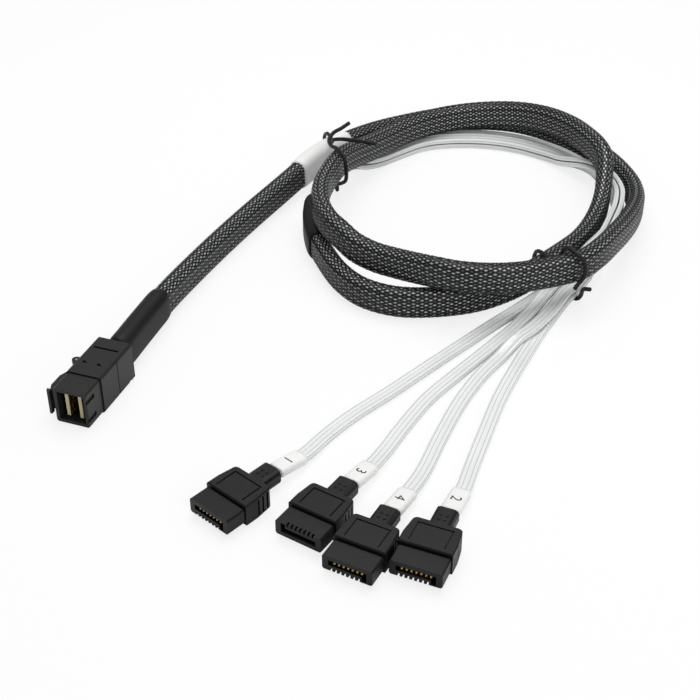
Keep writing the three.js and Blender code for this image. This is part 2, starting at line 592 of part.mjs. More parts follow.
function panelGroove(side) {
  const surface = side > 0 ? GRIP.height : 0;
  const low = side > 0 ? surface - PANEL.depth : surface - 1;
  const high = side > 0 ? surface + 1 : surface + PANEL.depth;
  const half = PANEL.width / 2;
  const rear = PANEL.front + PANEL.length;
  const legs = [-1, 1].map((hand) => box(
    [hand * half - PANEL.groove / 2, PANEL.front, low],
    [hand * half + PANEL.groove / 2, rear, high],
  ));
  const bridge = box(
    [-half - PANEL.groove / 2, rear - PANEL.groove, low],
    [half + PANEL.groove / 2, rear, high],
  );
  return [...legs, bridge];
}

function grip() {
  const body = prism(gripOutline(), 0, GRIP.height, GRIP.edge);
  const neckOutline = roundedOutline(NECK.width, NECK.height, NECK.corner);
  const neck = bar(neckOutline, GRIP.length - 1, neckRear, HEAD.mid);
  const studs = [];
  for (let row = 0; row < NECK_STUD.rows; row++) {
    for (let column = 0; column < NECK_STUD.columns; column++) {
      const x = (column - (NECK_STUD.columns - 1) / 2) * NECK_STUD.pitch - NECK_STUD.size / 2;
      const y = GRIP.length + NECK_STUD.away + row * NECK_STUD.pitch;
      const top = HEAD.mid + NECK.height / 2;
      studs.push(box(
        [x, y, top - NECK_STUD.size],
        [x + NECK_STUD.size, y + NECK_STUD.size, top + NECK_STUD.proud],
      ));
    }
  }
  const pocket = box(
    [-TANG.width / 2 - GAP, -1, HEAD.mid - TANG.height / 2 - GAP],
    [TANG.width / 2 + GAP, TANG.length + GAP, HEAD.mid + TANG.height / 2 + GAP],
  );
  const sideNotches = [-1, 1].flatMap((side) => Array.from({ length: SIDE_NOTCH.count }, (_, i) => {
    const y = SIDE_NOTCH.first + i * SIDE_NOTCH.pitch;
    const inner = GRIP.width / 2 - 0.25 - SIDE_NOTCH.depth - i * SIDE_NOTCH.stepIn;
    const xs = [side * inner, side * (GRIP.width / 2 + 1)].sort((a, b) => a - b);
    return box(
      [xs[0], y, SIDE_NOTCH.margin],
      [xs[1], y + SIDE_NOTCH.width, GRIP.height - SIDE_NOTCH.margin],
    );
  }));
  const solid = toSolid(join(body, [neck, ...studs]));
  const tools = [pocket, ...panelGroove(1), ...panelGroove(-1), ...sideNotches];
  return toGeometry(tools.reduce((result, tool) => result.subtract(toSolid(tool)), solid));
}

const tagWidth = FLAT.width + 2 * (GAP + TAG.wall);
const tagHeight = FLAT.thickness + 2 * (GAP + TAG.wall);

for (const branch of BRANCHES) {
  const plug = new THREE.Group();
  plug.position.set(branch.plug[0], branch.plug[1], 0);
  plug.rotation.z = THREE.MathUtils.degToRad(branch.turn);
  cable.add(plug);
  add(plug, `plug_${branch.name}_head`, headHousing(branch.flipped), BLACK);
  add(plug, `plug_${branch.name}_grip`, grip(), BLACK);
  for (let i = 0; i < CONTACT.count; i++) {
    add(plug, `plug_${branch.name}_contact_${i + 1}`, contact(i, branch.flipped), GOLD);
  }
  const path = branchStations(branch);
  add(cable, `flat_cable_${branch.name}`, solidTube(path, flatOutline), SILVER_WHITE);
  const slope = (HEAD.mid - TAG.rear) / (TAG.away + TAG.length + 1 - GAP);
  const tagPath = new StationPath([TAG.away, TAG.away + TAG.length].map((away) => (
    onPlug(branch, neckRear + away, HEAD.mid - slope * (away - GAP))
  )));
  add(cable, `plug_${branch.name}_tag`,
    hollowTube(tagPath, tagWidth, tagHeight, TAG.wall, TAG.corner), WHITE);
}

function tieWire(tie) {
  const { stations } = spaced(tie.route, TIE.step);
  const outline = new THREE.EllipseCurve(0, 0, TIE.radius, TIE.radius).getPoints(6).slice(0, -1);
  const options = { extrudePath: new THREE.CatmullRomCurve3(stations), steps: stations.length - 1 };
  return new THREE.ExtrudeGeometry(new THREE.Shape(outline), options);
}

for (const tie of TIES) {
  add(cable, tie.name, tieWire(tie), BLACK_SOFT);
}

export default cable;
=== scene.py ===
# Breakout cable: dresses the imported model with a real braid, film ribbons, shrinks, ties and finishes
import math
import bmesh
import bpy
import numpy as np
from mathutils import Matrix, Vector


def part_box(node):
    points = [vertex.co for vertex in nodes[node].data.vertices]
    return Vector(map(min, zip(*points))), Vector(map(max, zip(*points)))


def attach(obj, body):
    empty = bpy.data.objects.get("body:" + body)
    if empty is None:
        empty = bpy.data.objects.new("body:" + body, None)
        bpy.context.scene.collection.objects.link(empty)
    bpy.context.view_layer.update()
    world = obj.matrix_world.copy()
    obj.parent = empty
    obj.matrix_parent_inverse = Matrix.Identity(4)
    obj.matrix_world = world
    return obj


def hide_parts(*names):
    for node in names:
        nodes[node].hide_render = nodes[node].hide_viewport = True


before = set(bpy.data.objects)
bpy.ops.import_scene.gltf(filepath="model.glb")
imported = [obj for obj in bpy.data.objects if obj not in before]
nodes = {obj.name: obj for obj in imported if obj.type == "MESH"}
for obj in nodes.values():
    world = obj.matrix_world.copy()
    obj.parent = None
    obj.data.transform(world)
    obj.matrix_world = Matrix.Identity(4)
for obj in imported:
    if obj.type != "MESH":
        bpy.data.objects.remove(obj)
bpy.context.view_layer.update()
print("frame loaded:", len(nodes), "nodes")

# camera of the photo, in metres
cameraSet = {"place": (0.17296, -0.25913, 0.22943), "target": (0.06089, 0.04877, 0.0),
             "lens": 66.86, "sensor": 36.0}

cameraData = bpy.data.cameras.new("camera")
cameraData.lens = cameraSet["lens"]
cameraData.sensor_width = cameraSet["sensor"]
cameraData.clip_start = 0.01
camera = bpy.data.objects.new("camera", cameraData)
bpy.context.scene.collection.objects.link(camera)
camera.location = cameraSet["place"]
aim = Vector(cameraSet["target"]) - Vector(cameraSet["place"])
camera.rotation_euler = aim.to_track_quat("-Z", "Y").to_euler()
bpy.context.scene.camera = camera
bpy.context.scene.view_settings.view_transform = "Standard"
print("camera placed")

# routes as listed: x, y, z and, on the trunk, the roll of the section in degrees
trunkRoute = [
    (0, 0.0026, 0.00635, 0), (0, 0.01, 0.00635, 0), (0, 0.018, 0.0063, 0), (-0.0005, 0.0285, 0.0062, 0),
    (-0.001, 0.0475, 0.0061, 0), (-0.0005, 0.069, 0.0056, 0), (0.001, 0.0915, 0.0054, 0),
    (0.003, 0.11, 0.0055, 0), (0.0055, 0.1255, 0.0061, 0), (0.0075, 0.136, 0.0069, 0),
    (0.0098, 0.1485, 0.0077, 0), (0.013, 0.1615, 0.0073, 0), (0.0172, 0.1735, 0.0063, 0),
    (0.023, 0.184, 0.0058, 0), (0.031, 0.194, 0.0055, 0), (0.042, 0.2045, 0.0054, 0),
    (0.0555, 0.2128, 0.0054, 0), (0.07, 0.2158, 0.0054, 0), (0.084, 0.2129, 0.0054, 0),
    (0.0965, 0.2055, 0.0054, 0), (0.106, 0.1975, 0.0054, 0), (0.114, 0.1895, 0.0054, 0),
    (0.1205, 0.181, 0.0054, 0), (0.1256, 0.1715, 0.0056, 0), (0.1284, 0.161, 0.0066, 0),
    (0.1294, 0.149, 0.0086, 0), (0.129, 0.135, 0.011, 0), (0.127, 0.1187, 0.0136, 0),
    (0.1245, 0.1065, 0.0148, 0), (0.1213, 0.0986, 0.015, 0), (0.1168, 0.0934, 0.0151, 0),
    (0.1113, 0.0886, 0.0152, 0), (0.1045, 0.0826, 0.0158, 0), (0.0966, 0.0776, 0.0166, 0),
    (0.0876, 0.0752, 0.0168, 0), (0.0795, 0.0753, 0.0167, 0), (0.072, 0.0773, 0.0156, 0),
    (0.065, 0.0795, 0.0146, 0), (0.0575, 0.0814, 0.0142, 0), (0.0498, 0.0839, 0.015, 0),
    (0.0439, 0.0874, 0.0164, 0), (0.0381, 0.0917, 0.0171, 0), (0.0321, 0.0996, 0.0175, 0),
    (0.0279, 0.1102, 0.0176, 0), (0.0261, 0.1219, 0.0176, 0), (0.0254, 0.1353, 0.0168, 0),
    (0.0263, 0.1475, 0.0144, 0), (0.0285, 0.16, 0.0118, 0), (0.0313, 0.172, 0.0102, 0),
    (0.0365, 0.1845, 0.0099, 0), (0.045, 0.196, 0.0098, 0), (0.0578, 0.2042, 0.0105, 0),
    (0.0731, 0.2056, 0.0125, 0), (0.0865, 0.2006, 0.0146, 0), (0.098, 0.1926, 0.0157, 0),
    (0.1064, 0.1833, 0.0162, 0), (0.1114, 0.1764, 0.0162, 0), (0.1143, 0.1712, 0.0148, 0),
    (0.1157, 0.1656, 0.012, 0), (0.1167, 0.159, 0.0088, 0), (0.1171, 0.1525, 0.0066, 0),
    (0.1168, 0.142, 0.0054, 0), (0.115, 0.1275, 0.0056, 0), (0.1109, 0.1135, 0.0066, 0),
    (0.1056, 0.101, 0.0068, 0), (0.0993, 0.0916, 0.0059, 0), (0.091, 0.0828, 0.0054, 0),
    (0.079, 0.0753, 0.0054, 0), (0.0678, 0.0718, 0.0054, 0), (0.0565, 0.0732, 0.0054, 0),
    (0.0468, 0.0792, 0.0055, 0), (0.0375, 0.089, 0.0058, 0), (0.0301, 0.099, 0.00615, 0),
    (0.0249, 0.1099, 0.0062, 0), (0.0218, 0.1198, 0.0062, 0), (0.0196, 0.1303, 0.0062, 0),
    (0.0186, 0.141, 0.0064, 10), (0.0194, 0.151, 0.0062, 42), (0.0228, 0.1613, 0.0037, 84),
    (0.0272, 0.171, 0.00215, 90), (0.0328, 0.1808, 0.0021, 90), (0.0395, 0.1903, 0.0021, 90),
    (0.0495, 0.1968, 0.0021, 90), (0.061, 0.2007, 0.0021, 90), (0.074, 0.2018, 0.0021, 90),
    (0.0868, 0.199, 0.00225, 90), (0.098, 0.1926, 0.003, 80), (0.1075, 0.1846, 0.005, 48),
    (0.1165, 0.1758, 0.0051, 12), (0.1213, 0.166, 0.0048, 0), (0.1232, 0.1545, 0.0048, 0),
    (0.1232, 0.143, 0.0048, 0), (0.1226, 0.1315, 0.0048, 0), (0.1209, 0.1205, 0.0052, 25),
    (0.1182, 0.1105, 0.0037, 90),
]

branches = {
    "1": {
        "slot": (-1, 1), "plug": (0.0563, -0.0322), "turn": -22,
        "route": [
            (0.1122, 0.102, 0.0025), (0.1093, 0.096, 0.0023), (0.1046, 0.0875, 0.0012),
            (0.0994, 0.0765, 0.0011), (0.0946, 0.0655, 0.0011), (0.0868, 0.0475, 0.0011),
            (0.0798, 0.031, 0.0011), (0.073, 0.016, 0.0011), (0.0696, 0.006, 0.00115),
        ],
    },
    "3": {
        "slot": (1, 1), "plug": (0.0796, -0.0309), "turn": -13,
        "route": [
            (0.1136, 0.102, 0.0046), (0.1118, 0.096, 0.0045), (0.1096, 0.087, 0.0034),
            (0.1064, 0.076, 0.002), (0.1022, 0.065, 0.0011), (0.0957, 0.046, 0.0011),
            (0.0912, 0.032, 0.0011), (0.0884, 0.016, 0.0011), (0.0872, 0.006, 0.00115),
        ],
    },
    "4": {
        "slot": (1, -1), "plug": (0.0948, -0.0379), "turn": -8,
        "route": [
            (0.1186, 0.102, 0.0046), (0.1168, 0.096, 0.0045), (0.1149, 0.087, 0.0034),
            (0.1118, 0.076, 0.003), (0.1086, 0.0685, 0.0027), (0.1058, 0.06, 0.0012),
            (0.1028, 0.049, 0.0011), (0.1005, 0.034, 0.0011), (0.0997, 0.016, 0.0011),
            (0.0996, 0, 0.00115),
        ],
    },
    "2": {
        "slot": (-1, -1), "plug": (0.1104, -0.0334), "turn": -3.2,
        "route": [
            (0.119, 0.102, 0.0025), (0.1172, 0.096, 0.0023), (0.1153, 0.0875, 0.0012),
            (0.1138, 0.078, 0.0011), (0.1129, 0.069, 0.0011), (0.1116, 0.0545, 0.0011),
            (0.1107, 0.039, 0.0011), (0.111, 0.02, 0.0011), (0.1114, 0.006, 0.00115),
        ],
    },
}

tieRoutes = {
    "tie_near_label": [
        (0.0386, 0.1366, 0.0256), (0.031, 0.1382, 0.0249), (0.0246, 0.1396, 0.0239),
        (0.0204, 0.142, 0.0218), (0.0172, 0.1496, 0.017), (0.0146, 0.1558, 0.0149),
        (0.0108, 0.1612, 0.0142), (0.0086, 0.164, 0.0114), (0.0083, 0.165, 0.0075),
        (0.0087, 0.1644, 0.0024), (0.0104, 0.1624, 0.0008), (0.0126, 0.159, 0.00075),
        (0.0172, 0.1518, 0.0008), (0.0206, 0.145, 0.0009), (0.0227, 0.14, 0.003), (0.0242, 0.1364, 0.0072),
        (0.0274, 0.1322, 0.0104), (0.03, 0.1294, 0.0136), (0.0303, 0.1286, 0.0192),
        (0.0288, 0.1298, 0.0227), (0.0254, 0.1324, 0.0237), (0.0222, 0.1356, 0.0227),
        (0.0201, 0.1388, 0.0231), (0.0203, 0.1426, 0.0243), (0.0218, 0.1465, 0.0245),
        (0.0235, 0.1505, 0.0252),
    ],
    "tie_near_fan_out": [
        (0.1256, 0.0912, 0.0108), (0.1234, 0.0938, 0.0089), (0.1225, 0.0964, 0.0062),
        (0.1219, 0.0984, 0.0032), (0.1204, 0.0998, 0.001), (0.112, 0.1036, 0.0008),
        (0.1066, 0.108, 0.00085), (0.1042, 0.109, 0.0028), (0.1038, 0.1084, 0.008),
        (0.1048, 0.1069, 0.0117), (0.1068, 0.1046, 0.013), (0.11, 0.1012, 0.0134), (0.113, 0.099, 0.015),
        (0.1145, 0.0982, 0.018), (0.1156, 0.0973, 0.0207), (0.118, 0.0948, 0.0216),
        (0.1204, 0.0934, 0.021), (0.1223, 0.0931, 0.0196), (0.1233, 0.0928, 0.017),
        (0.1231, 0.0922, 0.014), (0.1218, 0.0914, 0.0119), (0.1212, 0.0894, 0.0112),
    ],
}

# sizes in metres; sleeveEnd, labelFrom and labelTo are stations of the trunk's route
trunkSet = {"sleeveEnd": 74, "start": 0.0139, "shrinkTo": 0.0446, "endShrink": 0.028, "endGap": 0.0008,
            "sleeveShort": 0.014, "width": 0.0060, "height": 0.0106, "corner": 0.0028}
labelSet = {"labelFrom": 9, "labelTo": 12, "late": 0.002, "early": 0.004, "thick": 0.0005}
shrinkSet = {"thick": 0.00055, "overlap": 0.0003}
tieSet = {"width": 0.0014, "spacing": 0.0012}
ribbonSet = {"width": 0.0044, "thickness": 0.0017, "waist": 0.0012, "across": 0.0022, "along": 0.00475,
             "spacing": 0.0025, "mid": 0.0034, "neckRear": 0.017, "gap": 0.0003, "inside": 0.012,
             "blockStep": 0.0065, "settle": 0.004}
braidSet = {"strands": 22, "diamond": 0.0026, "strandWidth": 0.00054, "lift": 0.00011, "under": 0.00015,
            "bundleInset": 0.0004}
tagSet = {"away": 0.0009, "length": 0.010, "rear": 0.0020, "width": 0.0056, "height": 0.0029,
          "corner": 0.0013, "lead": 0.001, "rings": 12}
digitSet = {"size": 0.0042, "raised": 0.00003, "proud": 0.00002}


# distance travelled along a line, from 0
def travelAlong(line):
    return np.concatenate([[0], np.cumsum(np.linalg.norm(np.diff(line, axis=0), axis=1))])


# smooth line through the points of a route, cut into equal steps; a fourth value is the roll
def throughPoints(points, spacing):
    route = np.array([point[:3] for point in points])
    rolls = np.array([point[3] if len(point) > 3 else 0.0 for point in points])
    padded = np.vstack([2 * route[0] - route[1], route, 2 * route[-1] - route[-2]])
    part = np.linspace(0, 1, 24, endpoint=False)[:, None]
    fine = []
    for i in range(len(route) - 1):
        before, start, end, after = padded[i:i + 4]
        stepA, stepB, stepC = (np.linalg.norm(b - a) ** 0.5
                               for a, b in ((before, start), (start, end), (end, after)))
        leave = ((start - before) / stepA - (end - before) / (stepA + stepB) + (end - start) / stepB) * stepB
        arrive = ((end - start) / stepB - (after - start) / (stepB + stepC) + (after - end) / stepC) * stepB
        cube, square = part ** 3, part ** 2
        fine.append((2 * cube - 3 * square + 1) * start + (cube - 2 * square + part) * leave
                    + (3 * square - 2 * cube) * end + (cube - square) * arrive)
    line = np.vstack([*fine, route[-1]])
    travel = travelAlong(line)
    count = max(2, round(travel[-1] / spacing))
    places = np.linspace(0, travel[-1], count + 1)
    stations = np.stack([np.interp(places, travel, line[:, axis]) for axis in range(3)], axis=1)
    turned = np.interp(places, travel[::24], rolls)
    return stations, np.radians(turned), travel[::24]


# upright frames along a line, each turned by its own roll
def frames(stations, rolls):
    tangents = np.gradient(stations, axis=0)
    tangents /= np.linalg.norm(tangents, axis=1)[:, None]
    sides = np.cross([0, 0, 1], tangents)
    sides /= np.linalg.norm(sides, axis=1)[:, None]
    sides = sides * np.cos(rolls)[:, None] + np.cross(tangents, sides) * np.sin(rolls)[:, None]
    return tangents, sides, np.cross(tangents, sides)


# section with round corners, as points a little way apart
def roundSection(width, height, corner, perCorner=6):
    points = []
    for signX, signY, start in ((1, 1, 0), (-1, 1, 90), (-1, -1, 180), (1, -1, 270)):
        for turn in np.linspace(0, 90, perCorner):
            angle = math.radians(start + turn)
            points.append((signX * (width / 2 - corner) + corner * math.cos(angle),
                           signY * (height / 2 - corner) + corner * math.sin(angle)))
    return np.array(points)


# two lobes and a waist, the section of one flat cable
def ribbonSection():
    half, waist = ribbonSet["thickness"] / 2, ribbonSet["waist"] / 2
    points = []
    for angle in np.linspace(0, 2 * math.pi, 24, endpoint=False):
        across = ribbonSet["width"] / 2 * math.sin(angle)
        full = half * min(1.0, 2.4 * abs(math.cos(angle)) ** 0.8)
        dip = (half - waist) * math.exp(-(across / 0.0007) ** 2)
        points.append((math.copysign(max(full - dip, 0.0), math.cos(angle)), across))
    return np.array(points)


def newPiece(name, mesh, finish, body="root"):
    piece = bpy.data.objects.new(name, mesh)
    bpy.context.scene.collection.objects.link(piece)
    mesh.materials.append(finish)
    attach(piece, body)
    return piece


# closed tube with this section along the line; scales shrink or grow single rings
def tubeMesh(name, stations, rolls, section, scales=None):
    tangents, sides, ups = frames(stations, rolls)
    scales = np.ones(len(stations)) if scales is None else scales
    across = scales[:, None, None] * section[None, :, 0, None]
    along = scales[:, None, None] * section[None, :, 1, None]
    rings = stations[:, None, :] + sides[:, None, :] * across + ups[:, None, :] * along
    size = len(section)
    faces = []
    for ring in range(len(stations) - 1):
        for j in range(size):
            k = (j + 1) % size
            faces.append((ring * size + j, ring * size + k, (ring + 1) * size + k, (ring + 1) * size + j))
    last = (len(stations) - 1) * size
    faces.append(tuple(reversed(range(size))))
    faces.append(tuple(range(last, last + size)))
    mesh = bpy.data.meshes.new(name)
    mesh.from_pydata(rings.reshape(-1, 3).tolist(), [], faces)
    smooth = [True] * (len(faces) - 2) + [False, False]
    mesh.polygons.foreach_set("use_smooth", smooth)
    uv = mesh.uv_layers.new(name="UVMap")
    travel = travelAlong(stations)
    around = travelAlong(np.vstack([section, section[:1]]))
    coords = []
    for ring in range(len(stations) - 1):
        for j in range(size):
            coords += [travel[ring], around[j], travel[ring], around[j + 1],
                       travel[ring + 1], around[j + 1], travel[ring + 1], around[j]]
    coords += [0.0] * (4 * size)
    uv.data.foreach_set("uv", coords)
    return mesh


# one family of the braid: flat strands that wind one way and pass over and under the other family
def braidMesh(name, stations, rolls, hand):
    count = braidSet["strands"]
    grid = 4 * count
    width, height = trunkSet["width"], trunkSet["height"]
    base = roundSection(width - 2 * braidSet["under"], height - 2 * braidSet["under"],
                        trunkSet["corner"] - braidSet["under"], 40)
    closed = np.vstack([base, base[:1]])
    travel = travelAlong(closed)
    perimeter = travel[-1]
    tangents, sides, ups = frames(stations, rolls)
    steps = len(stations)
    half = braidSet["strandWidth"] / 2 / math.cos(math.atan(perimeter / count / braidSet["diamond"]))
    verts, faces = [], []
    index = np.arange(steps)
    lift = hand * braidSet["lift"] * np.cos(math.pi * index / 2)
    for strand in range(count):
        middle = (strand / count + hand * index / grid) * perimeter
        edges = []
        for shift in (-half, half):
            place = np.mod(middle + shift, perimeter)
            a = np.interp(place, travel, closed[:, 0])
            b = np.interp(place, travel, closed[:, 1])
            away = np.stack([a / (width / 2) ** 2, b / (height / 2) ** 2], axis=1)
            away /= np.linalg.norm(away, axis=1)[:, None]
            a, b = a + away[:, 0] * lift, b + away[:, 1] * lift
            edges.append(stations + sides * a[:, None] + ups * b[:, None])
        first = len(verts)
        verts.extend(np.stack(edges, axis=1).reshape(-1, 3).tolist())
        for k in range(steps - 1):
            at = first + 2 * k
            faces.append((at, at + 1, at + 3, at + 2))
    mesh = bpy.data.meshes.new(name)
    mesh.from_pydata(verts, [], faces)
    mesh.polygons.foreach_set("use_smooth", [True] * len(faces))
    return mesh


# shader group: a fine uneven surface for plastics, films and metals
def surfaceGroup():
    group = bpy.data.node_groups.new("fineSurface", "ShaderNodeTree")
    face = group.interface
    face.new_socket(name="Vector", in_out="INPUT", socket_type="NodeSocketVector")
    for label, kind in (("Dark", "Color"), ("Light", "Color"), ("Patch", "Float"), ("Grain", "Float"),
                        ("Smooth", "Float"), ("Rough", "Float")):
        face.new_socket(name=label, in_out="INPUT", socket_type="NodeSocket" + kind)
    face.new_socket(name="Color", in_out="OUTPUT", socket_type="NodeSocketColor")
    face.new_socket(name="Roughness", in_out="OUTPUT", socket_type="NodeSocketFloat")
    face.new_socket(name="Height", in_out="OUTPUT", socket_type="NodeSocketFloat")
    tree, link = group.nodes, group.links.new
    inside, outside = tree.new("NodeGroupInput"), tree.new("NodeGroupOutput")
    patches, grain = tree.new("ShaderNodeTexNoise"), tree.new("ShaderNodeTexNoise")
    patches.inputs["Detail"].default_value = 4
    grain.inputs["Detail"].default_value = 2
    link(inside.outputs["Vector"], patches.inputs["Vector"])
    link(inside.outputs["Vector"], grain.inputs["Vector"])
    link(inside.outputs["Patch"], patches.inputs["Scale"])
    link(inside.outputs["Grain"], grain.inputs["Scale"])
    blend = tree.new("ShaderNodeMix")
    blend.data_type = "RGBA"
    link(patches.outputs["Fac"], blend.inputs["Factor"])
    link(inside.outputs["Dark"], blend.inputs["A"])
    link(inside.outputs["Light"], blend.inputs["B"])
    level = tree.new("ShaderNodeMapRange")
    link(grain.outputs["Fac"], level.inputs["Value"])
    link(inside.outputs["Smooth"], level.inputs["To Min"])
    link(inside.outputs["Rough"], level.inputs["To Max"])
    link(blend.outputs["Result"], outside.inputs["Color"])
    link(level.outputs["Result"], outside.inputs["Roughness"])
    link(grain.outputs["Fac"], outside.inputs["Height"])
    return group


fineSurface = surfaceGroup()


def makeFinish(name, dark, light, patch, grain, smooth, rough, bump, metallic=0.0, coat=0.0, sheen=0.0):
    finish = bpy.data.materials.new(name)
    finish.use_nodes = True
    tree, link = finish.node_tree.nodes, finish.node_tree.links.new
    shader = tree["Principled BSDF"]
    shader.inputs["Metallic"].default_value = metallic
    shader.inputs["Coat Weight"].default_value = coat
    shader.inputs["Sheen Weight"].default_value = sheen
    place = tree.new("ShaderNodeTexCoord")
    detail = tree.new("ShaderNodeGroup")
    detail.node_tree = fineSurface
    detail.inputs["Dark"].default_value = (*dark, 1)
    detail.inputs["Light"].default_value = (*light, 1)
    for label, value in (("Patch", patch), ("Grain", grain), ("Smooth", smooth), ("Rough", rough)):
        detail.inputs[label].default_value = value
    relief = tree.new("ShaderNodeBump")
    relief.inputs["Strength"].default_value = bump
    relief.inputs["Distance"].default_value = 0.0001
    link(place.outputs["Object"], detail.inputs["Vector"])
    link(detail.outputs["Color"], shader.inputs["Base Color"])
    link(detail.outputs["Roughness"], shader.inputs["Roughness"])
    link(detail.outputs["Height"], relief.inputs["Height"])
    link(relief.outputs["Normal"], shader.inputs["Normal"])
    return finish


finishes = {
    "plug": makeFinish("mouldedBlack", (0.013, 0.0135, 0.0125), (0.019, 0.020, 0.018),
                       90, 5200, 0.32, 0.45, 0.25),
    "insert": makeFinish("insertBlack", (0.004, 0.004, 0.0042), (0.008, 0.008, 0.0082),
                         120, 5200, 0.34, 0.46, 0.2),
    "grip": makeFinish("overmouldBlack", (0.003, 0.0033, 0.0033), (0.007, 0.0075, 0.0075),
                       110, 6400, 0.3, 0.44, 0.3),
    "card": makeFinish("cardLaminate", (0.05, 0.045, 0.02), (0.09, 0.075, 0.035),
                       260, 3000, 0.4, 0.5, 0.1),
    "cardEdge": makeFinish("cardEdge", (0.48, 0.42, 0.24), (0.60, 0.54, 0.34),
                           900, 5000, 0.45, 0.6, 0.2),
    "steel": makeFinish("pinSteel", (0.42, 0.43, 0.44), (0.56, 0.57, 0.58),
                        400, 3600, 0.25, 0.38, 0.1, 1.0),
    "gold": makeFinish("contactGold", (0.72, 0.46, 0.16), (0.86, 0.6, 0.25),
                       500, 4200, 0.2, 0.34, 0.08, 1.0),
    "braid": makeFinish("braidStrand", (0.004, 0.0045, 0.005), (0.016, 0.017, 0.018),
                        220, 3800, 0.28, 0.42, 0.3),
    "bundle": makeFinish("ribbonBundle", (0.80, 0.82, 0.82), (0.93, 0.94, 0.93),
                         160, 1800, 0.3, 0.45, 0.2),
    "shrink": makeFinish("heatShrink", (0.003, 0.0032, 0.0032), (0.008, 0.0085, 0.0085),
                         70, 2600, 0.42, 0.58, 0.35),
    "film": makeFinish("ribbonFilm", (0.76, 0.78, 0.78), (0.88, 0.89, 0.88),
                       60, 900, 0.18, 0.3, 0.15, 0.0, 0.5),
    "label": makeFinish("labelFilm", (0.80, 0.80, 0.79), (0.88, 0.88, 0.87),
                        50, 700, 0.4, 0.52, 0.3),
    "digit": makeFinish("printedDigit", (0.012, 0.012, 0.012), (0.03, 0.03, 0.03),
                        300, 4000, 0.5, 0.6, 0.05),
    "tie": makeFinish("tieCoating", (0.006, 0.006, 0.0055), (0.014, 0.014, 0.013),
                      150, 2200, 0.42, 0.58, 0.4),
}


# stripes along a cord, from the distance round its section; the dark stripes are painted shade in the dips
# along the lobes under the film, and on the loose film ribbons partly also the film's fine lines
def shadeAndLineStripes(finish, pitch, dark, low, high):
    tree, link = finish.node_tree.nodes, finish.node_tree.links.new
    place, parts, wave, turn, level, shadeMix = (tree.new(kind) for kind in (
        "ShaderNodeUVMap", "ShaderNodeSeparateXYZ", "ShaderNodeMath", "ShaderNodeMath",
        "ShaderNodeMapRange", "ShaderNodeMix"))
    turn.operation, wave.operation = "MULTIPLY", "COSINE"
    turn.inputs[1].default_value = 2 * math.pi / pitch
    level.inputs["From Min"].default_value = low
    level.inputs["From Max"].default_value = high
    shadeMix.data_type = "RGBA"
    shadeMix.inputs["A"].default_value = (*dark, 1)
    shader = tree["Principled BSDF"]
    link(place.outputs["UV"], parts.inputs["Vector"])
    link(parts.outputs["Y"], turn.inputs[0])
    link(turn.outputs["Value"], wave.inputs[0])
    link(wave.outputs["Value"], level.inputs["Value"])
    link(level.outputs["Result"], shadeMix.inputs["Factor"])
    link(shader.inputs["Base Color"].links[0].from_socket, shadeMix.inputs["B"])
    link(shadeMix.outputs["Result"], shader.inputs["Base Color"])


# ribbons in the sleeve: dark stripes of painted shade in the grooves between the lobes, drawn on a smooth
# tube
shadeAndLineStripes(finishes["bundle"], 0.0022, (0.10, 0.11, 0.11), -0.9, 0.3)
# film ribbons: thin grey lines, partly painted shade at the waist and edges, partly the fine wire lines seen
# in the film
shadeAndLineStripes(finishes["film"], 0.00112, (0.5, 0.52, 0.53), -1.0, -0.6)

# the blacks of the photo show little shine
for name in ("plug", "insert", "grip", "shrink", "braid", "tie"):
    shader = finishes[name].node_tree.nodes["Principled BSDF"]
    shader.inputs["Specular IOR Level"].default_value = 0.22
print("finishes made:", len(finishes))

# trunk: ribbons pressed together in the sleeve, with the braid over them
braidStep = braidSet["diamond"] / 4
trunkLine, trunkRolls, trunkAt = throughPoints(trunkRoute, braidStep)
trunkTravel = travelAlong(trunkLine)
sleeveEnd = trunkAt[trunkSet["sleeveEnd"]]


def trunkStretch(low, high, every=1):
    chosen = np.where((trunkTravel >= low) & (trunkTravel <= high))[0][::every]
    return trunkLine[chosen], trunkRolls[chosen]


def travelAtY(y):
    return trunkTravel[np.argmax(trunkLine[:, 1] > y)]


bundleFrom = travelAtY(trunkSet["start"])
bundleTo = sleeveEnd - trunkSet["endGap"]
line, rolls = trunkStretch(bundleFrom, bundleTo, 4)
inset = 2 * braidSet["under"] + braidSet["bundleInset"]
bundleSection = roundSection(trunkSet["width"] - inset, trunkSet["height"] - inset,
                             trunkSet["corner"] - inset / 2)
bundleMesh = tubeMesh("trunk_bundle", line, rolls, bundleSection)
trunkBundle = newPiece("trunk_bundle", bundleMesh, finishes["bundle"])
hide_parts("braided_sleeve")
line, rolls = trunkStretch(bundleFrom, sleeveEnd - trunkSet["sleeveShort"])
for name, hand in (("braid_strands_left", -1), ("braid_strands_right", 1)):
    piece = newPiece(name, braidMesh(name, line, rolls, hand), finishes["braid"])
    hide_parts("braided_sleeve")
print("trunk made")


# sleeves shrunk or wrapped over the braid, with rounded end edges
def overSleeve(name, low, high, thick, finish, node):
    line, rolls = trunkStretch(low, high, 2)
    section = roundSection(trunkSet["width"] + 2 * thick, trunkSet["height"] + 2 * thick,
                           trunkSet["corner"] + thick)
    scales = np.ones(len(line))
    scales[[0, -1]] = 0.94
    scales[[1, -2]] = 0.985
    piece = newPiece(name, tubeMesh(name, line, rolls, section, scales), finishes[finish])
    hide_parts(node)
    return piece


overlap, shrinkThick = shrinkSet["overlap"], shrinkSet["thick"]
plugShrink = overSleeve("shrink_at_plug", bundleFrom - overlap, travelAtY(trunkSet["shrinkTo"]), shrinkThick,
                        "shrink", "plug_heat_shrink")
endShrink = overSleeve("shrink_at_breakout", sleeveEnd - trunkSet["endShrink"], sleeveEnd - overlap,
                       shrinkThick, "shrink", "breakout_heat_shrink")
label = overSleeve("label_wrap", trunkAt[labelSet["labelFrom"]] + labelSet["late"],
                   trunkAt[labelSet["labelTo"]] - labelSet["early"], labelSet["thick"],
                   "label", "trunk_label")


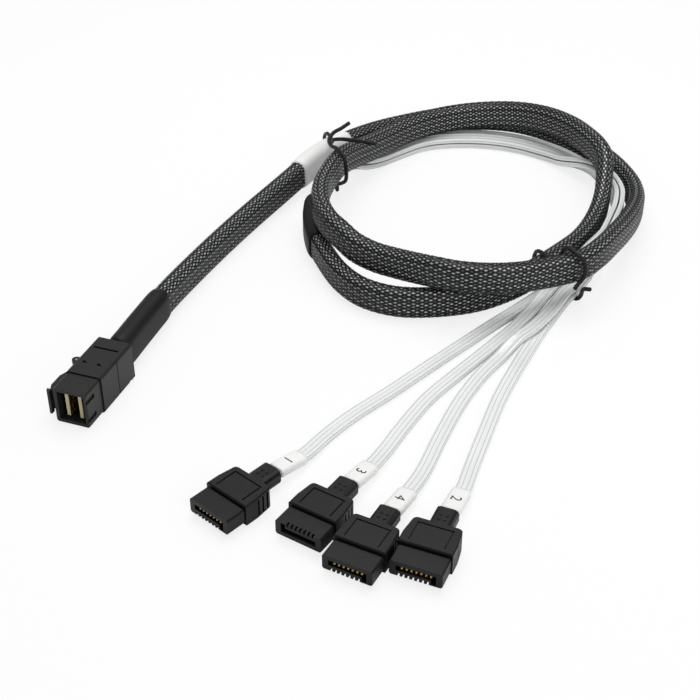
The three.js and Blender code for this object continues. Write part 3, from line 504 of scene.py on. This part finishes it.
# tie wires
def tieWire(name, points):
    line = throughPoints(points, tieSet["spacing"])[0]
    curve = bpy.data.curves.new(name, "CURVE")
    curve.dimensions = "3D"
    curve.bevel_depth = tieSet["width"] / 2
    curve.bevel_resolution = 4
    curve.use_fill_caps = True
    spline = curve.splines.new("POLY")
    spline.points.add(len(line) - 1)
    spline.points.foreach_set("co", np.hstack([line, np.ones((len(line), 1))]).ravel())
    spline.use_smooth = True
    wire = bpy.data.objects.new(name + "_wire", curve)
    bpy.context.scene.collection.objects.link(wire)
    mesh = bpy.data.meshes.new_from_object(wire)
    bpy.data.objects.remove(wire)
    mesh.materials.clear()
    piece = newPiece(name + "_coated", mesh, finishes["tie"])
    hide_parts(name)
    return piece


ties = [tieWire(name, points) for name, points in tieRoutes.items()]
print("shrinks, label and ties made")

# flat cables from the breakout to their plugs
blockLine, blockRolls = trunkStretch(sleeveEnd - ribbonSet["inside"], trunkTravel[-1])
blockTangents, blockSides, blockUps = frames(blockLine, blockRolls)
section = ribbonSection()


def onPlug(branch, y, z):
    turn = math.radians(branch["turn"])
    return (branch["plug"][0] - y * math.sin(turn), branch["plug"][1] + y * math.cos(turn), z)


for name, branch in branches.items():
    across, along = branch["slot"]
    inBlock = (blockLine + blockSides * across * ribbonSet["across"] / 2
               + blockUps * along * ribbonSet["along"] / 2)
    every = round(ribbonSet["blockStep"] / braidStep)
    points = [(*inBlock[i], math.degrees(blockRolls[i])) for i in range(0, len(inBlock) - every // 2, every)]
    points.append((*inBlock[-1], 90))
    points += [(*point, 90) for point in branch["route"]]
    tagEnd = ribbonSet["neckRear"] + tagSet["away"] + tagSet["length"] + tagSet["lead"]
    points.append((*onPlug(branch, tagEnd, tagSet["rear"]), 90))
    slope = (ribbonSet["mid"] - tagSet["rear"]) / (tagEnd - ribbonSet["neckRear"] - ribbonSet["gap"])
    for away in (tagEnd - ribbonSet["settle"], ribbonSet["neckRear"] + ribbonSet["settle"],
                 ribbonSet["neckRear"] + ribbonSet["gap"]):
        height = tagSet["rear"] + slope * (tagEnd - away)
        points.append((*onPlug(branch, away, height), 90))
    line, rolls = throughPoints(points, ribbonSet["spacing"])[:2]
    ribbonMesh = tubeMesh("film_ribbon_" + name, line, rolls, section)
    ribbon = newPiece("film_ribbon_" + name, ribbonMesh, finishes["film"])
    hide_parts("flat_cable_" + name)
    tagLine = np.array([onPlug(branch, away, tagSet["rear"] + slope * (tagEnd - away)) for away in
                        np.linspace(ribbonSet["neckRear"] + tagSet["away"] + tagSet["length"],
                                    ribbonSet["neckRear"] + tagSet["away"], tagSet["rings"])])
    scales = np.ones(tagSet["rings"])
    scales[[0, -1]] = 0.94
    tagSection = roundSection(tagSet["height"], tagSet["width"], tagSet["corner"])
    tagRolls = np.full(tagSet["rings"], math.pi / 2)
    tagMesh = tubeMesh("tag_wrap_" + name, tagLine, tagRolls, tagSection, scales)
    tag = newPiece("tag_wrap_" + name, tagMesh, finishes["label"])
    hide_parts(f"plug_{name}_tag")
    text = bpy.data.curves.new("digit_" + name, "FONT")
    text.body = name
    text.size = digitSet["size"]
    text.extrude = digitSet["raised"]
    text.align_x = "CENTER"
    text.align_y = "CENTER"
    written = bpy.data.objects.new("written", text)
    bpy.context.scene.collection.objects.link(written)
    mesh = bpy.data.meshes.new_from_object(written)
    bpy.data.objects.remove(written)
    turn = math.radians(branch["turn"])
    middle = ribbonSet["neckRear"] + tagSet["away"] + tagSet["length"] / 2
    tilt = math.atan(slope)
    top = (tagSet["rear"] + slope * (tagEnd - middle) + tagSet["height"] / 2 * math.cos(tilt)
           + digitSet["proud"])
    mesh.transform(Matrix.Translation(onPlug(branch, middle, top)) @ Matrix.Rotation(turn, 4, "Z")
                   @ Matrix.Rotation(-tilt, 4, "X") @ Matrix.Rotation(math.radians(-90), 4, "Z"))
    digit = newPiece("digit_mark_" + name, mesh, finishes["digit"])
    held = [tag, digit, f"plug_{name}_head", f"plug_{name}_grip"]
    held += [f"plug_{name}_contact_{i}" for i in range(1, 8)]
print("flat cables made")

# finishes of the moulded and metal nodes
for name, node in nodes.items():
    if name.startswith("paddle_card"):
        finish = "card"
    elif "contact" in name:
        finish = "gold"
    elif name == "latch_pin":
        finish = "steel"
    elif name.endswith("_head") or name == "card_holder":
        finish = "insert"
    elif name.endswith("_grip"):
        finish = "grip"
    elif name in ("plug_nose", "plug_rear_cover", "latch_lever"):
        finish = "plug"
    else:
        continue
    node.data.materials.clear()
    node.data.materials.append(finishes[finish])
print("nodes finished")

# cream front edge of each paddle card, where the laminate is cut
edgeSet = {"deep": 0.00012, "proud": 0.00002}
for side in ("left", "right"):
    low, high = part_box("paddle_card_" + side)
    low, high = low - Vector([edgeSet["proud"]] * 3), high + Vector([edgeSet["proud"]] * 3)
    high.y = low.y + edgeSet["deep"]
    shape = bmesh.new()
    size = Matrix.Diagonal((*(high - low), 1))
    bmesh.ops.create_cube(shape, size=1, matrix=Matrix.Translation((low + high) / 2) @ size)
    mesh = bpy.data.meshes.new("card_edge_" + side)
    shape.to_mesh(mesh)
    shape.free()
    newPiece("card_edge_" + side, mesh, finishes["cardEdge"])

# contact pads on both faces of each paddle card
padSet = {"count": 9, "pitch": 0.0008, "width": 0.0005, "length": 0.0034, "thick": 0.00004, "inset": 0.0004}
for side in ("left", "right"):
    low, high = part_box("paddle_card_" + side)
    shape = bmesh.new()
    for face in (low.x - padSet["thick"] / 2, high.x + padSet["thick"] / 2):
        for i in range(padSet["count"]):
            z = (low.z + high.z) / 2 + (i - (padSet["count"] - 1) / 2) * padSet["pitch"]
            centre = Vector((face, low.y + padSet["inset"] + padSet["length"] / 2, z))
            size = Matrix.Diagonal((padSet["thick"], padSet["length"], padSet["width"], 1))
            bmesh.ops.create_cube(shape, size=1, matrix=Matrix.Translation(centre) @ size)
    mesh = bpy.data.meshes.new("card_pads_" + side)
    shape.to_mesh(mesh)
    shape.free()
    pads = newPiece("card_pads_" + side, mesh, finishes["gold"])
print("card pads made")

# pale floor, white surroundings and soft light
floorMesh = bpy.data.meshes.new("floor")
shape = bmesh.new()
bmesh.ops.create_grid(shape, x_segments=1, y_segments=1, size=6)
shape.to_mesh(floorMesh)
shape.free()
floor = bpy.data.objects.new("floor", floorMesh)
bpy.context.scene.collection.objects.link(floor)
floor.location = (0, 0, -0.0001)
floorFinish = bpy.data.materials.new("paleFloor")
floorFinish.use_nodes = True
tree, link = floorFinish.node_tree.nodes, floorFinish.node_tree.links.new
diffuse = tree["Principled BSDF"]
diffuse.inputs["Base Color"].default_value = (0.9, 0.9, 0.9, 1)
diffuse.inputs["Roughness"].default_value = 0.9
glow, mixer, ray, share = (tree.new(kind) for kind in ("ShaderNodeEmission", "ShaderNodeMixShader",
                                                       "ShaderNodeLightPath", "ShaderNodeMath"))
share.operation = "MULTIPLY"
share.inputs[1].default_value = 0.8
link(ray.outputs["Is Camera Ray"], share.inputs[0])
link(share.outputs["Value"], mixer.inputs["Fac"])
link(diffuse.outputs["BSDF"], mixer.inputs[1])
link(glow.outputs["Emission"], mixer.inputs[2])
link(mixer.outputs["Shader"], tree["Material Output"].inputs["Surface"])
floorMesh.materials.append(floorFinish)

world = bpy.data.worlds.new("world")
bpy.context.scene.world = world
world.use_nodes = True
world.node_tree.nodes["Background"].inputs["Color"].default_value = (1, 1, 1, 1)
tree, link = world.node_tree.nodes, world.node_tree.links.new
seen, strength = tree.new("ShaderNodeLightPath"), tree.new("ShaderNodeMapRange")
strength.inputs["To Min"].default_value = 0.42
strength.inputs["To Max"].default_value = 1.0
link(seen.outputs["Is Camera Ray"], strength.inputs["Value"])
link(strength.outputs["Result"], tree["Background"].inputs["Strength"])

lampAim = (0.06, 0.08, 0)
lampSet = {
    "softTop": {"place": (0.02, 0.25, 0.75), "size": 0.6, "power": 4.2},
    "sideFill": {"place": (0.6, -0.35, 0.45), "size": 0.4, "power": 1.4},
}
for name, values in lampSet.items():
    data = bpy.data.lights.new(name, "AREA")
    data.size = values["size"]
    data.energy = values["power"]
    lamp = bpy.data.objects.new(name, data)
    bpy.context.scene.collection.objects.link(lamp)
    lamp.location = values["place"]
    beam = Vector(lampAim) - Vector(values["place"])
    lamp.rotation_euler = beam.to_track_quat("-Z", "Y").to_euler()
print("floor and lights made")
